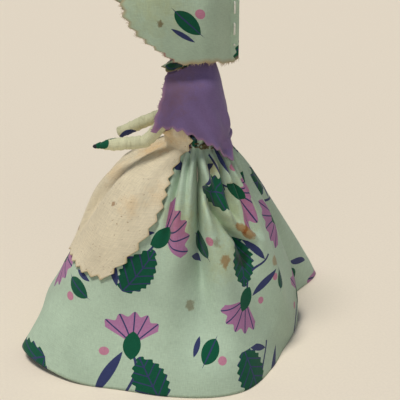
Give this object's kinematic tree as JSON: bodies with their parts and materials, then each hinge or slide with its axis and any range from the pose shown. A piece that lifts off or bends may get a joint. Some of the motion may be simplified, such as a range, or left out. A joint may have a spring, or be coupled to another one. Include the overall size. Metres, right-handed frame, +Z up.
{
  "type": "cloth doll",
  "caption": "Wire-framed cloth doll in a sunbonnet, shawl and apron that stands on its bell skirt; head, arms and legs bend.",
  "frame": {"origin": "on the table, under the middle of the doll's footprint", "axes": "+Z up along the doll's height; the doll faces -Y and its left hand is on +X"},
  "size_m": [0.1176, 0.1364, 0.1593],
  "materials": {
    "print_cotton": "matte",
    "strip_cotton": "matte",
    "lilac_cotton": "matte",
    "cream_muslin": "matte",
    "white_muslin": "matte",
    "cotton_wool": "matte",
    "dark_thread": "matte",
    "white_thread": "matte",
    "steel_wire": "satin"
  },
  "bodies": {
    "figure": {"spine_wire": "steel_wire", "shoulder_wire": "steel_wire", "torso_wadding": "cotton_wool", "bodice": "print_cotton", "petticoat": "white_muslin", "skirt": "print_cotton", "apron": "cream_muslin", "waist_thread": "dark_thread", "shawl": "lilac_cotton", "neck_thread": "dark_thread"},
    "neck": {"neck_wrap": "strip_cotton", "neck_wire": "steel_wire"},
    "head": {"head_cover": "white_muslin", "head_stuffing": "cotton_wool", "head_wire": "steel_wire", "bonnet": "print_cotton", "bonnet_seam_thread": "white_thread"},
    "left_upper_arm": {"left_upper_arm_wrap": "strip_cotton", "left_upper_arm_wire": "steel_wire"},
    "left_forearm": {"left_forearm_wrap": "strip_cotton", "left_forearm_wire": "steel_wire"},
    "left_hand": {"left_hand_wrap": "strip_cotton", "left_hand_wire": "steel_wire"},
    "left_leg": {"left_leg_wrap": "strip_cotton", "left_leg_wire": "steel_wire", "left_foot": "strip_cotton"},
    "right_upper_arm": {"right_upper_arm_wrap": "strip_cotton", "right_upper_arm_wire": "steel_wire"},
    "right_forearm": {"right_forearm_wrap": "strip_cotton", "right_forearm_wire": "steel_wire"},
    "right_hand": {"right_hand_wrap": "strip_cotton", "right_hand_wire": "steel_wire"},
    "right_leg": {"right_leg_wrap": "strip_cotton", "right_leg_wire": "steel_wire", "right_foot": "strip_cotton"}
  },
  "joints": [
    {"name": "head_turn", "type": "hinge", "parent": "figure", "child": "neck", "pos_m": [-0.00153, 0.00793, 0.119], "axis": [0, 0, 1], "range_deg": [-30, 30]},
    {"name": "head_nod", "type": "hinge", "parent": "neck", "child": "head", "pos_m": [-0.00153, 0.00793, 0.12435], "axis": [1, 0, 0], "range_deg": [-8, 12]},
    {"name": "left_shoulder", "type": "hinge", "parent": "figure", "child": "left_upper_arm", "pos_m": [0.00937, 0.00638, 0.112], "axis": [-1, 0, 0], "range_deg": [0, 10]},
    {"name": "left_elbow", "type": "hinge", "parent": "left_upper_arm", "child": "left_forearm", "pos_m": [0.00466, -0.01311, 0.08836], "axis": [-1, 0, 0], "range_deg": [-8, 30]},
    {"name": "left_wrist", "type": "hinge", "parent": "left_forearm", "child": "left_hand", "pos_m": [0.00407, -0.02649, 0.08789], "axis": [-1, 0, 0], "range_deg": [-30, 30]},
    {"name": "left_hip", "type": "hinge", "parent": "figure", "child": "left_leg", "pos_m": [0.00307, 0.00793, 0.079], "axis": [-1, 0, 0], "range_deg": [-15, 15]},
    {"name": "right_shoulder", "type": "hinge", "parent": "figure", "child": "right_upper_arm", "pos_m": [-0.01243, 0.00638, 0.112], "axis": [-1, 0, 0], "range_deg": [0, 10]},
    {"name": "right_elbow", "type": "hinge", "parent": "right_upper_arm", "child": "right_forearm", "pos_m": [-0.01243, 0.00291, 0.09567], "axis": [-1, 0, 0], "range_deg": [0, 25]},
    {"name": "right_wrist", "type": "hinge", "parent": "right_forearm", "child": "right_hand", "pos_m": [-0.0148, -0.01396, 0.08844], "axis": [-1, 0, 0], "range_deg": [-30, 30]},
    {"name": "right_hip", "type": "hinge", "parent": "figure", "child": "right_leg", "pos_m": [-0.00613, 0.00793, 0.079], "axis": [-1, 0, 0], "range_deg": [-15, 15]}
  ]
}
